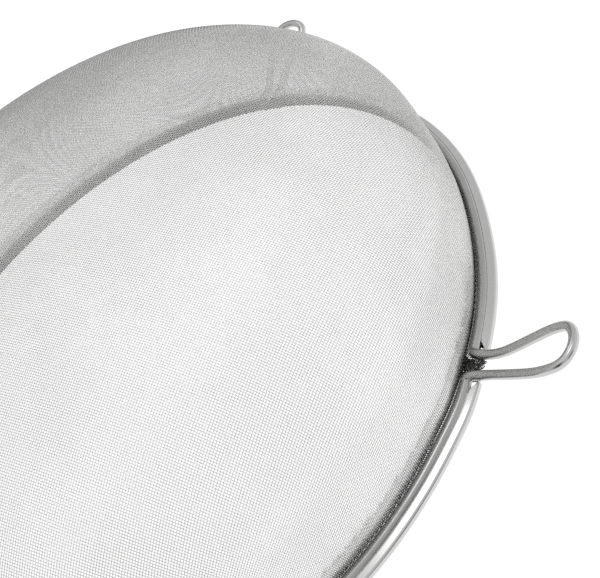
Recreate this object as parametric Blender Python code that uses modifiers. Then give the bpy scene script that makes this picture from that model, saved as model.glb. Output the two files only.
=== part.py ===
"""Fine mesh strainer: a drawn wire-cloth bowl clamped in a folded rim, with two wire ears and a tubular handle.

Metres, +Z up. The strainer lies rim down, so the bowl is a dome, the handle points along -Y and the two ears
point forward, to the right and left of +Y. The origin is under the middle of the whole outline, on the plane
that the rim lies on.
"""

import math

import bmesh
import bpy
from mathutils import Vector

# Driving dimensions
RIM_RADIUS = 0.130
WIRE_RADIUS = 0.00145
SHEET = 0.0004
CLOTH = 0.0005
GAP = 0.0003
BOWL_HEIGHT = 0.0866
BOWL_WALL_HEIGHT = 0.0282
BOWL_RADIUS = 0.125
EAR_TURN = math.radians(44.0)
TILT = math.radians(12.0)
EAR_TILT = math.radians(14.4)
TILT_START = 0.001

# The folded rim: an outer bead, then a crease, then a hump over the hoop wire
BEAD_RADIUS = 0.0011
WIRE_INSET = 0.00425
WIRE_HEIGHT = SHEET + GAP + CLOTH + GAP + WIRE_RADIUS
HUMP_RADIUS = WIRE_RADIUS + GAP + SHEET / 2
HOOP_RADIUS = RIM_RADIUS - WIRE_INSET
RING_STEP = math.radians(6.0)

# The bowl's flange, its neck inside the rim, and the bulge above the rim
CLOTH_HEIGHT = SHEET + GAP + CLOTH / 2
FLANGE_INSET = 0.0015
NECK_INSET = WIRE_INSET + HUMP_RADIUS + SHEET / 2 + GAP + CLOTH / 2
NECK_BEND = 0.0008
NECK_TOP = 0.0056
BULGE_START = 0.009
BULGE_HEIGHT = 0.0145
CROWN_RINGS = 10

# One ear, as distance beyond the rim's edge and distance from the ear's middle line
EAR_OUTLINE = (
    (-0.0034, -0.0048),
    (-0.0016, -0.0040),
    (0.0006, -0.0037),
    (0.0035, -0.0036),
    (0.0130, -0.0052),
    (0.0200, -0.0056),
    (0.0262, -0.0046),
    (0.0287, -0.0017),
    (0.0289, 0.0025),
    (0.0262, 0.0060),
    (0.0215, 0.0064),
    (0.0160, 0.0053),
    (0.0080, 0.0034),
    (0.0006, 0.0032),
    (-0.0016, 0.0036),
    (-0.0034, 0.0047),
)
EAR_FOOT = 0.0062
EAR_STEPS = 3

# The handle, as distances along its own axis from where it starts to rise
TAIL_SPREAD = 0.0048
TAIL_BEND = 0.0040
FERRULE_START = 0.010
TUBE_START = 0.014
TAIL_END = 0.022
FERRULE_END = 0.026
TUBE_END = 0.146
TUBE_WALL = 0.0008
TUBE_MOUTH = (0.0082, 0.0046)
TUBE_WAIST = (0.0086, 0.0048)
TUBE_GRIP = (0.0108, 0.0058)
TUBE_TAIL = (0.0104, 0.0056)
PLUG_DEPTH = 0.010
PLUG_DOME = 0.0035
LOOP_HALF_WIDTH = 0.0062
LOOP_START = TUBE_END - 0.006
LOOP_STRAIGHT = 0.009
OVAL_SIDES = 28

LOOP_TIP = TUBE_END + LOOP_STRAIGHT + LOOP_HALF_WIDTH
HANDLE_ROOT = -RIM_RADIUS + TILT_START
HANDLE_LOWEST_Y = HANDLE_ROOT - LOOP_TIP * math.cos(TILT) - WIRE_RADIUS

MODEL_NAME = "mesh_strainer"
STEEL = (0.62, 0.62, 0.61)


def clear_scene():
    """Removes whatever the scene holds."""
    for existing in list(bpy.data.objects):
        bpy.data.objects.remove(existing)


def add_collection(name):
    """Adds a collection to the scene."""
    collection = bpy.data.collections.new(name)
    bpy.context.scene.collection.children.link(collection)
    return collection


def make_material(name, roughness):
    """Makes the material of one piece of steel."""
    material = bpy.data.materials.new(name)
    material.use_nodes = True
    surface = material.node_tree.nodes["Principled BSDF"]
    surface.inputs["Base Color"].default_value = (*STEEL, 1.0)
    surface.inputs["Roughness"].default_value = roughness
    surface.inputs["Metallic"].default_value = 1.0
    return material


def add_piece(name, data, roughness, collection, parent):
    """Adds one piece, with a material of its own, in its parent's frame."""
    piece = bpy.data.objects.new(name, data)
    piece.data.materials.append(make_material(name, roughness))
    collection.objects.link(piece)
    piece.parent = parent
    return piece


def add_empty(name, location, turn, collection, parent):
    """Adds an empty that carries the pieces of a sub-assembly."""
    empty = bpy.data.objects.new(name, None)
    empty.empty_display_size = 0.02
    empty.location = location
    empty.rotation_euler = turn
    empty.parent = parent
    collection.objects.link(empty)
    return empty


def arc(centre, radius, start, end, count):
    """Points along an arc in a plane, with its angles in degrees."""
    angles = [math.radians(start + (end - start) * i / (count - 1)) for i in range(count)]
    return [(centre[0] + radius * math.cos(a), centre[1] + radius * math.sin(a)) for a in angles]


def smooth_through(points, steps):
    """A Catmull-Rom curve through the second to the last point but one."""
    curve = []
    for before, start, end, after in zip(points, points[1:], points[2:], points[3:]):
        for step in range(steps):
            t = step / steps
            linear = (end - before) * t
            square = (before * 2 - start * 5 + end * 4 - after) * t**2
            cube = (start * 3 - before - end * 3 + after) * t**3
            curve.append(start + (linear + square + cube) / 2)
    curve.append(points[-2])
    return curve


def turned_sheet(name, profile, start, end, thickness, roughness, collection, parent):
    """Turns a profile of (radius, height) pairs about Z and gives the surface its thickness."""
    mesh = bpy.data.meshes.new(name)
    edges = [(i, i + 1) for i in range(len(profile) - 1)]
    mesh.from_pydata([(radius, 0.0, height) for radius, height in profile], edges, [])
    piece = add_piece(name, mesh, roughness, collection, parent)
    piece.rotation_euler.z = start
    screw = piece.modifiers.new("Turn", "SCREW")
    screw.angle = end - start
    screw.steps = math.ceil((end - start) / RING_STEP)
    screw.render_steps = screw.steps
    screw.use_merge_vertices = True
    screw.merge_threshold = 0.00001
    screw.use_smooth_shade = True
    wall = piece.modifiers.new("Wall", "SOLIDIFY")
    wall.thickness = thickness
    wall.offset = 0.0
    wall.use_even_offset = True
    return piece


def wire(name, points, roughness, collection, parent):
    """A round wire along a chain of points."""
    curve = bpy.data.curves.new(name, "CURVE")
    curve.dimensions = "3D"
    curve.bevel_depth = WIRE_RADIUS
    curve.bevel_resolution = 2
    curve.use_fill_caps = True
    spline = curve.splines.new("POLY")
    spline.points.add(len(points) - 1)
    for target, point in zip(spline.points, points):
        target.co = (*point, 1.0)
    spline.use_smooth = True
    return add_piece(name, curve, roughness, collection, parent)


def oval_loft(name, sections, capped):
    """A skin through ovals across -Y, each given as (distance, half width, half height)."""
    mesh = bpy.data.meshes.new(name)
    shape = bmesh.new()
    rings = []
    for reach, half_width, half_height in sections:
        oval = arc((0.0, 0.0), 1.0, 0, 360, OVAL_SIDES + 1)[:-1]
        rings.append([shape.verts.new((x * half_width, -reach, z * half_height)) for x, z in oval])
    for ring, following in zip(rings, rings[1:]):
        for i in range(OVAL_SIDES):
            j = (i + 1) % OVAL_SIDES
            shape.faces.new((ring[i], ring[j], following[j], following[i]))
    if capped:
        shape.faces.new(reversed(rings[0]))
        shape.faces.new(rings[-1])
    bmesh.ops.recalc_face_normals(shape, faces=shape.faces)
    shape.to_mesh(mesh)
    shape.free()
    mesh.shade_smooth()
    mesh.set_sharp_from_angle(angle=math.radians(40))
    return mesh


def drill(piece, half_spread, start, end, cutters):
    """Drills two holes for wires along -Y, one to each side of the middle."""
    for side in (-1, 1):
        mesh = bpy.data.meshes.new(f"{piece.name}_drill")
        shape = bmesh.new()
        radius = WIRE_RADIUS + GAP
        bmesh.ops.create_cone(
            shape, cap_ends=True, segments=16, radius1=radius, radius2=radius, depth=end - start
        )
        shape.to_mesh(mesh)
        shape.free()
        cutter = bpy.data.objects.new(mesh.name, mesh)
        cutter.location = (side * half_spread, -(start + end) / 2, 0.0)
        cutter.rotation_euler.x = math.pi / 2
        cutter.parent = piece.parent
        cutter.hide_render = True
        cutter.display_type = "WIRE"
        cutters.objects.link(cutter)
        cut = piece.modifiers.new("Wire hole", "BOOLEAN")
        cut.operation = "DIFFERENCE"
        cut.object = cutter


def bowl_profile():
    """The cloth's middle surface, from the flange's edge to the pole."""
    neck = RIM_RADIUS - NECK_INSET
    bend = (neck + NECK_BEND, CLOTH_HEIGHT + NECK_BEND)
    profile = [(RIM_RADIUS - FLANGE_INSET, CLOTH_HEIGHT), *arc(bend, NECK_BEND, 270, 180, 4)]
    rise = [
        Vector((neck, CLOTH_HEIGHT + NECK_BEND)),
        Vector((neck, WIRE_HEIGHT)),
        Vector((neck + 0.0009, NECK_TOP)),
        Vector((BOWL_RADIUS - 0.0004, BULGE_START)),
        Vector((BOWL_RADIUS, BULGE_HEIGHT)),
        Vector((BOWL_RADIUS, BOWL_WALL_HEIGHT)),
    ]
    profile += [tuple(point) for point in smooth_through(rise, 2)]
    crown = BOWL_HEIGHT - CLOTH / 2 - BOWL_WALL_HEIGHT
    for ring in range(CROWN_RINGS):
        angle = math.pi / 2 * ring / CROWN_RINGS
        profile.append((BOWL_RADIUS * math.cos(angle), BOWL_WALL_HEIGHT + crown * math.sin(angle)))
    profile.append((0.0, BOWL_WALL_HEIGHT + crown))
    return profile


def rim_profile():
    """The rim's sheet: lower leg, outer bead, crease, and hump over the hoop wire."""
    hump = (HOOP_RADIUS, WIRE_HEIGHT)
    bead = (RIM_RADIUS - BEAD_RADIUS - SHEET / 2, SHEET / 2 + BEAD_RADIUS)
    lower_leg = (HOOP_RADIUS - HUMP_RADIUS, SHEET / 2)
    return [lower_leg, *arc(bead, BEAD_RADIUS, -90, 115, 6), *arc(hump, HUMP_RADIUS, -10, 195, 8)]


def build_bowl(collection, parent):
    """The drawn bowl of wire cloth, with the flat flange that the rim clamps."""
    turned_sheet("mesh_bowl", bowl_profile(), 0.0, math.tau, CLOTH, 0.35, collection, parent)


def build_rim(collection, parent):
    """The folded rim, in three strips that leave the roots of the ears and the handle open."""
    by_ear = (EAR_FOOT + GAP) / HOOP_RADIUS
    by_handle = (TAIL_SPREAD + TAIL_BEND + GAP) / HOOP_RADIUS
    right_ear = math.pi / 2 - EAR_TURN
    left_ear = math.pi / 2 + EAR_TURN
    strips = {
        "rim_channel_front": (right_ear + by_ear, left_ear - by_ear),
        "rim_channel_right": (-math.pi / 2 + by_handle, right_ear - by_ear),
        "rim_channel_left": (left_ear + by_ear, math.pi * 1.5 - by_handle),
    }
    for name, (start, end) in strips.items():
        turned_sheet(name, rim_profile(), start, end, SHEET, 0.12, collection, parent)


def around(radius, angle):
    """A point on a ring about the bowl's axis, at the height of the hoop wire."""
    return Vector((radius * math.cos(angle), radius * math.sin(angle), WIRE_HEIGHT))


def hoop_arc(start, end):
    """The hoop wire's middle line between two angles, inside the rim."""
    count = math.ceil((end - start) / RING_STEP)
    return [around(HOOP_RADIUS, start + (end - start) * i / count) for i in range(count + 1)]


def ear_line(middle):
    """The wire's middle line through one ear, from one foot in the rim to the other."""
    outward = around(1.0, middle) - Vector((0, 0, WIRE_HEIGHT))
    aside = Vector((-outward.y, outward.x, 0.0))
    foot = EAR_FOOT / HOOP_RADIUS
    line = [around(HOOP_RADIUS, middle - foot * 1.6), around(HOOP_RADIUS, middle - foot)]
    for reach, offset in EAR_OUTLINE:
        rise = max(reach + TILT_START, 0.0) * math.tan(EAR_TILT)
        line.append(around(RIM_RADIUS + reach, middle) + aside * offset + Vector((0, 0, rise)))
    line += [around(HOOP_RADIUS, middle + foot), around(HOOP_RADIUS, middle + foot * 1.6)]
    return smooth_through(line, EAR_STEPS)


def handle_point(reach, aside):
    """A point of the handle's own frame, in the bowl's frame."""
    return Vector((aside, HANDLE_ROOT - reach * math.cos(TILT), WIRE_HEIGHT + reach * math.sin(TILT)))


def build_hoop(collection, parent):
    """The one wire that runs from the handle round the rim, out and back at each ear, and to the handle again."""
    bend_x = TAIL_SPREAD + TAIL_BEND
    lean = math.asin(bend_x / (HOOP_RADIUS + TAIL_BEND))
    bend = (bend_x, -(HOOP_RADIUS + TAIL_BEND) * math.cos(lean))
    ear = math.pi / 2 - EAR_TURN
    foot = EAR_FOOT / HOOP_RADIUS
    half = [handle_point(TAIL_END, TAIL_SPREAD), handle_point(0.0, TAIL_SPREAD)]
    half += [Vector((x, y, WIRE_HEIGHT)) for x, y in arc(bend, TAIL_BEND, 180, 90 + math.degrees(lean), 6)]
    half += hoop_arc(lean - math.pi / 2, ear - foot)[1:-1]
    half += ear_line(ear)
    half += hoop_arc(ear + foot, math.pi / 2)[1:]
    mirrored = [Vector((-point.x, point.y, point.z)) for point in reversed(half[:-1])]
    wire("hoop_wire", half + mirrored, 0.1, collection, parent)


def build_handle(collection, cutters, parent):
    """The handle: a ferrule round the wire's two ends, a drawn oval tube, its end plug and a loop to hang it by."""
    frame = add_empty("handle_frame", (0.0, HANDLE_ROOT, WIRE_HEIGHT), (-TILT, 0.0, 0.0), collection, parent)
    clearance = TUBE_WALL + GAP
    collar = (TUBE_MOUTH[0], TUBE_MOUTH[1])
    tenon = (TUBE_MOUTH[0] - clearance, TUBE_MOUTH[1] - clearance)
    ferrule_sections = (
        (FERRULE_START, collar[0] - 0.0006, collar[1] - 0.0006),
        (FERRULE_START + 0.0006, *collar),
        (TUBE_START - GAP, *collar),
        (TUBE_START - GAP, *tenon),
        (FERRULE_END, *tenon),
    )
    ferrule = add_piece(
        "handle_ferrule", oval_loft("handle_ferrule", ferrule_sections, True), 0.2, collection, frame
    )
    drill(ferrule, TAIL_SPREAD, FERRULE_START - 0.002, TAIL_END + GAP, cutters)

    length = TUBE_END - TUBE_START
    tube_sections = (
        (TUBE_START, *TUBE_MOUTH),
        (TUBE_START + length * 0.14, *TUBE_WAIST),
        (TUBE_START + length * 0.45, TUBE_GRIP[0] - 0.0006, TUBE_GRIP[1] - 0.0003),
        (TUBE_START + length * 0.72, *TUBE_GRIP),
        (TUBE_END, *TUBE_TAIL),
    )
    tube = add_piece("handle_tube", oval_loft("handle_tube", tube_sections, False), 0.25, collection, frame)
    wall = tube.modifiers.new("Wall", "SOLIDIFY")
    wall.thickness = TUBE_WALL
    wall.offset = -1.0

    spigot = (TUBE_TAIL[0] - clearance, TUBE_TAIL[1] - clearance)
    plug_sections = (
        (TUBE_END - PLUG_DEPTH, *spigot),
        (TUBE_END + GAP, *spigot),
        (TUBE_END + GAP, *TUBE_TAIL),
        (TUBE_END + PLUG_DOME * 0.6, TUBE_TAIL[0] * 0.95, TUBE_TAIL[1] * 0.92),
        (TUBE_END + PLUG_DOME, TUBE_TAIL[0] * 0.80, TUBE_TAIL[1] * 0.62),
    )
    plug = add_piece(
        "handle_end_plug", oval_loft("handle_end_plug", plug_sections, True), 0.2, collection, frame
    )
    drill(plug, LOOP_HALF_WIDTH, LOOP_START - GAP, TUBE_END + PLUG_DOME + 0.002, cutters)

    bow = arc((0.0, TUBE_END + LOOP_STRAIGHT), LOOP_HALF_WIDTH, 0, 180, 15)
    line = [(LOOP_HALF_WIDTH, LOOP_START), *bow, (-LOOP_HALF_WIDTH, LOOP_START)]
    wire("hang_loop", [Vector((x, -reach, 0.0)) for x, reach in line], 0.15, collection, frame)


def main():
    """Builds the strainer."""
    clear_scene()
    model = add_collection(MODEL_NAME)
    cutters = add_collection("cutters")
    middle = (0.0, -(RIM_RADIUS + HANDLE_LOWEST_Y) / 2, 0.0)
    frame = add_empty("bowl_frame", middle, (0.0, 0.0, 0.0), model, None)
    build_bowl(model, frame)
    build_rim(model, frame)
    build_hoop(model, frame)
    build_handle(model, cutters, frame)


main()
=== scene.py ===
"""Looks of a large fine-mesh kitchen strainer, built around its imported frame.

The bowl is woven wire by wire, the rim is a folded strip of sheet in three lengths, one bent wire makes the
hoop and both ears, and the handle is a drawn oval tube with a ferrule, an end plug and a hanging loop.
Metres, +Z up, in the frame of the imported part: rim down, handle along -Y, an ear to each side of +Y.
"""

import logging
import math
from collections.abc import Callable, Sequence
from dataclasses import dataclass
from enum import Enum

import bpy
import numpy as np
from mathutils import Matrix, Vector


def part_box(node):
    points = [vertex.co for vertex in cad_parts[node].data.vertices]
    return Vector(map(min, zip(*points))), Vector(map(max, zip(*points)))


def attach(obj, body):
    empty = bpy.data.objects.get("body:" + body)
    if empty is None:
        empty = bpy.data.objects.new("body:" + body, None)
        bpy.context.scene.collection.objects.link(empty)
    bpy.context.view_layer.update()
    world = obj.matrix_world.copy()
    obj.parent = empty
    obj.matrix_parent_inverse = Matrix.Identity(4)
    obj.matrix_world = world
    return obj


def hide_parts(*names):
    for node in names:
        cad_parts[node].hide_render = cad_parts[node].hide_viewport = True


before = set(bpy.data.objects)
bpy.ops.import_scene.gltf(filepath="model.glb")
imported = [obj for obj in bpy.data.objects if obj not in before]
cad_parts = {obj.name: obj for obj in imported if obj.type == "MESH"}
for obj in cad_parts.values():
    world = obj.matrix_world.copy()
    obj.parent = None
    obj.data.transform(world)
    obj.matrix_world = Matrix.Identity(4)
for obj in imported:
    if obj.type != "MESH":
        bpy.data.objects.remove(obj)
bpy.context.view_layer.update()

BODY = "root"
GRAIN_MAP = "grain"
MM = 0.001

# Where the rim is bent out and in: the middle and the spread in degrees, and the depth in millimetres.
FLARE = (40.0, 4.0, 0.5)
FLAT = (71.0, 12.0, 0.95)

Material = bpy.types.Material
Mesh = bpy.types.Mesh
Node = bpy.types.Node
NodeTree = bpy.types.NodeTree
Socket = bpy.types.NodeSocket

log = logging.getLogger("strainer")


class Weave(Enum):
    """Which way a wire of the cloth runs."""

    WARP = "warp"
    WEFT = "weft"


class Slot(Enum):
    """The record's material slots."""

    CLOTH = "wire_cloth"
    RIM = "rim_sheet"
    WIRE = "round_wire"
    HANDLE = "handle_steel"


# ---------------------------------------------------------------------------------------------- mesh tools


def mesh_from(name: str, points: np.ndarray, faces: Sequence[np.ndarray]) -> Mesh:
    """Makes a smooth-shaded mesh.

    Args:
        name: The mesh's name.
        points: One row of three coordinates for each vertex.
        faces: Arrays of vertex indices, each array with one width: triangles, quads or wider.

    Returns:
        The mesh, with its faces turned outward if it is closed.
    """
    triangles = np.concatenate(
        [group[:, [0, i, i + 1]] for group in faces for i in range(1, group.shape[1] - 1)]
    )
    corners = points[triangles]
    if np.einsum("ij,ij->i", corners[:, 0], np.cross(corners[:, 1], corners[:, 2])).sum() < 0:
        faces = [group[:, ::-1] for group in faces]
    loops = np.concatenate([group.ravel() for group in faces])
    widths = np.concatenate([np.full(len(group), group.shape[1]) for group in faces])
    mesh = bpy.data.meshes.new(name)
    mesh.vertices.add(len(points))
    mesh.vertices.foreach_set("co", np.ascontiguousarray(points, np.float32).ravel())
    mesh.loops.add(len(loops))
    mesh.loops.foreach_set("vertex_index", np.ascontiguousarray(loops, np.int32))
    mesh.polygons.add(len(widths))
    mesh.polygons.foreach_set("loop_start", (np.cumsum(widths) - widths).astype(np.int32))
    mesh.update(calc_edges=True)
    mesh.shade_smooth()
    return mesh


def ring_faces(rows: int, columns: int, first: int = 0) -> np.ndarray:
    """Quads between closed rings of vertices that follow each other.

    Args:
        rows: How many rings there are.
        columns: How many vertices each ring has.
        first: The index of the first ring's first vertex.

    Returns:
        One row of four vertex indices for each quad.
    """
    row, column = np.meshgrid(np.arange(rows - 1), np.arange(columns), indexing="ij")
    after = (column + 1) % columns
    quads = np.stack([row * columns + column, row * columns + after], -1)
    following = np.stack([(row + 1) * columns + after, (row + 1) * columns + column], -1)
    return np.concatenate([quads, following], -1).reshape(-1, 4) + first


def write_grain_map(mesh: Mesh, along: np.ndarray, around: np.ndarray) -> None:
    """Writes a UV map in metres, along and around a piece, for its drawing lines.

    Args:
        mesh: The mesh.
        along: Each vertex's distance along the piece.
        around: Each vertex's distance around the piece.
    """
    corner = np.zeros(len(mesh.loops), np.int32)
    mesh.loops.foreach_get("vertex_index", corner)
    values = np.stack([along[corner], around[corner]], -1)
    layer = mesh.uv_layers.new(name=GRAIN_MAP)
    layer.uv.foreach_set("vector", values.astype(np.float32).ravel())


def skin(name: str, rings: np.ndarray, caps: Sequence[np.ndarray] | None = None,
         looped: bool = False) -> Mesh:
    """Skins rings of points into one closed body.

    Args:
        name: The mesh's name.
        rings: An array of rings, points and coordinates.
        caps: The faces that close one end, as indices into its ring; one flat face if left out.
        looped: Whether the last ring joins the first, so that there are no ends.

    Returns:
        The mesh, with its grain map.
    """
    rows, columns, _ = rings.shape
    faces = [ring_faces(rows, columns)]
    if looped:
        ring = np.arange(columns)
        last = (rows - 1) * columns
        after = (ring + 1) % columns
        faces.append(np.stack([ring + last, after + last, after, ring], -1))
    else:
        for group in caps or [np.arange(columns)[None, :]]:
            faces += [group[:, ::-1], group + (rows - 1) * columns]
    mesh = mesh_from(name, rings.reshape(-1, 3), faces)
    steps = np.linalg.norm(np.diff(rings.mean(1), axis=0), axis=1)
    along = np.concatenate([[0.0], np.cumsum(steps)])
    sides = np.linalg.norm(np.diff(rings, axis=1), axis=2).mean(0)
    around = np.concatenate([[0.0], np.cumsum(sides)])
    write_grain_map(mesh, np.repeat(along, columns), np.tile(around, rows))
    mesh.set_sharp_from_angle(angle=math.radians(50))
    return mesh


def smooth_through(points: Sequence[Sequence[float]], steps: int) -> np.ndarray:
    """A centripetal curve through the second to the last point but one.

    Args:
        points: The points, with one more at each end to give the direction there.
        steps: How many stretches each span is cut into.

    Returns:
        The points along the curve.
    """
    knots = [np.asarray(point, float) for point in points]
    line = []
    for before, start, end, after in zip(knots, knots[1:], knots[2:], knots[3:]):
        for t in np.arange(steps) / steps:
            square = before * 2 - start * 5 + end * 4 - after
            cube = start * 3 - before - end * 3 + after
            line.append(start + ((end - before) * t + square * t**2 + cube * t**3) / 2)
    line.append(knots[-2])
    return np.array(line)


def relaxed(line: np.ndarray, rounds: int) -> np.ndarray:
    """Evens out a line's bends and leaves its ends, as bending wire round a peg does.

    Args:
        line: The line's points.
        rounds: How many times its bends are evened out.

    Returns:
        The evened line.
    """
    line = line.copy()
    for _ in range(rounds):
        line[1:-1] += (line[:-2] + line[2:] - 2 * line[1:-1]) * 0.25
    return line


def arc(centre: Sequence[float], radius: float, start: float, end: float, count: int) -> np.ndarray:
    """Points along an arc in a plane, with its angles in degrees."""
    turn = np.radians(np.linspace(start, end, count))
    return np.stack([centre[0] + radius * np.cos(turn), centre[1] + radius * np.sin(turn)], -1)


def evenly(line: np.ndarray, count: int) -> np.ndarray:
    """The same line with its points evenly spaced.

    Args:
        line: The line's points.
        count: How many points it gets.

    Returns:
        The points.
    """
    lengths = np.concatenate([[0.0], np.cumsum(np.linalg.norm(np.diff(line, axis=0), axis=1))])
    at = np.linspace(0.0, lengths[-1], count)
    return np.stack([np.interp(at, lengths, line[:, axis]) for axis in range(line.shape[1])], -1)


def unit(vectors: np.ndarray) -> np.ndarray:
    """Each vector at length one."""
    return vectors / np.maximum(np.linalg.norm(vectors, axis=-1, keepdims=True), 1e-12)


def round_wire(name: str, line: np.ndarray, radius: float, sides: int) -> Mesh:
    """A round wire along a line, with slightly broken edges at its cut ends.

    Args:
        name: The mesh's name.
        line: The wire's middle line.
        radius: The wire's radius.
        sides: How many sides the wire has.

    Returns:
        The mesh.
    """
    tangents = unit(np.gradient(line, axis=0))
    side = unit(np.cross(tangents[0], (0.0, 0.0, 1.0))[None, :])[0]
    turn = np.linspace(0.0, math.tau, sides, endpoint=False)
    rings = []
    for point, tangent in zip(line, tangents):
        side = unit((side - tangent * (side @ tangent))[None, :])[0]
        other = np.cross(tangent, side)
        rings.append(np.outer(np.cos(turn), side) + np.outer(np.sin(turn), other))
    rings = np.array(rings)
    breaks = ((0.0, 0.82), (0.12, 0.94), (0.3, 1.0))
    head = [line[0] + tangents[0] * radius * push + rings[0] * radius * share for push, share in breaks]
    tail = [line[-1] - tangents[-1] * radius * push + rings[-1] * radius * share for push, share in breaks]
    body = line[1:-1, None, :] + rings[1:-1] * radius
    return skin(name, np.concatenate([np.array(head), body, np.array(tail[::-1])]))


def wire_rings(line: np.ndarray, normal: np.ndarray, radius: float, sides: int, start: float) -> np.ndarray:
    """Rings of points round a thin wire of the cloth.

    Args:
        line: The wire's middle line.
        normal: The cloth's direction at each point, or one for all.
        radius: The rings' radius.
        sides: How many points each ring has.
        start: The angle of each ring's first point.

    Returns:
        The rings, one for each point of the line.
    """
    tangent = unit(np.gradient(line, axis=0))
    side = unit(np.cross(tangent, normal))
    rise = np.cross(side, tangent)
    spokes = (np.linspace(0.0, math.tau, sides, endpoint=False) + start)[None, :, None]
    spread = side[:, None, :] * np.cos(spokes) + rise[:, None, :] * np.sin(spokes)
    return line[:, None, :] + spread * radius


def bundle_mesh(name: str, bundle: Sequence[np.ndarray]) -> Mesh:
    """Joins wires of the cloth into one mesh, each wire a closed body.

    Args:
        name: The mesh's name.
        bundle: The rings of each wire.

    Returns:
        The mesh.
    """
    quads, ends, first = [], [], 0
    for rings in bundle:
        rows, sides, _ = rings.shape
        quads.append(ring_faces(rows, sides, first))
        last = first + (rows - 1) * sides
        ring = np.arange(sides)
        ends += [ring[::-1] + first, ring + last]
        first = last + sides
    points = np.concatenate([rings.reshape(-1, 3) for rings in bundle])
    return mesh_from(name, points, [np.concatenate(quads), np.array(ends)])


def out_of_round(turn: np.ndarray | float) -> np.ndarray | float:
    """How far the rim stands out from a true circle, as a used strainer's does.

    Args:
        turn: The angle about the bowl's axis.

    Returns:
        The distance, less than 0 where the rim stands in.
    """
    degrees = np.degrees(turn)
    flare, flat = (
        np.exp(-(((degrees - middle) / spread) ** 2)) * depth for middle, spread, depth in (FLARE, FLAT)
    )
    return (flare - flat) * MM


def settle(name: str, mesh: Mesh, slot: Slot, material: Material,
           stands_for: Sequence[str], place: Matrix | None = None) -> bpy.types.Object:
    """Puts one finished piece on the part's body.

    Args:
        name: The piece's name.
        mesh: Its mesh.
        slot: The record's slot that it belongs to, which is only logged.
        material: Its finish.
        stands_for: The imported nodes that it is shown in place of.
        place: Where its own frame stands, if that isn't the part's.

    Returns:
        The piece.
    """
    piece = bpy.data.objects.new(name, mesh)
    bpy.context.scene.collection.objects.link(piece)
    mesh.materials.append(material)
    if place is not None:
        piece.matrix_world = place
    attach(piece, BODY)
    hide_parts(*stands_for)
    log.info("%s: %d faces in %s", name, len(mesh.polygons), slot.value)
    return piece


# ------------------------------------------------------------------------------------- effects and finishes


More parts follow.
